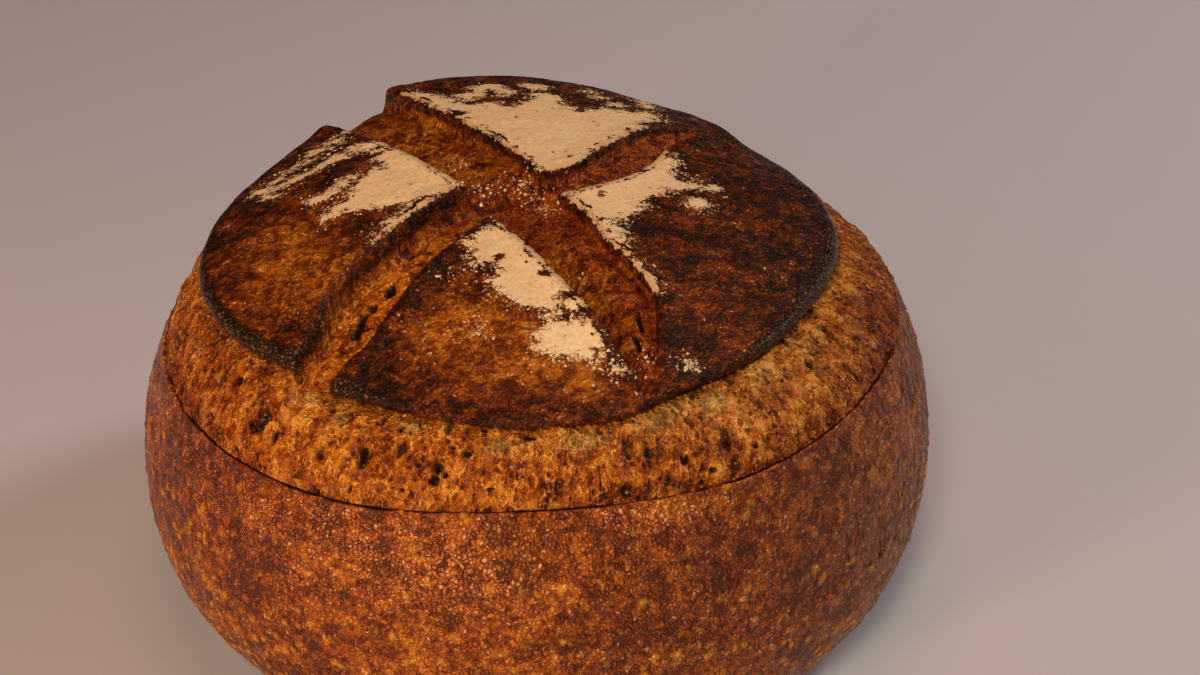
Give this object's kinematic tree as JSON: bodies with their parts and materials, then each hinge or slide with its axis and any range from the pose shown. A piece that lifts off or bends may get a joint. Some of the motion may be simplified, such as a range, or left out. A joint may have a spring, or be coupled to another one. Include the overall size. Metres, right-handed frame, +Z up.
{
  "type": "sourdough loaf",
  "caption": "Round sourdough loaf: browned side crust, a torn crumb band at a ring cut, and a scored, flour-dusted dark cap of petals parted by a crossed cut.",
  "frame": {"origin": "on the surface the loaf stands on, under the middle of its box", "axes": "+Z up out of the cap, the loaf's shortest way; -Y towards the side where the torn crumb band is widest; +X to the right as seen from there"},
  "size_m": [0.23, 0.23, 0.1343],
  "materials": {
    "crust": null
  },
  "bodies": {
    "root": {"loaf": "crust"}
  },
  "joints": []
}
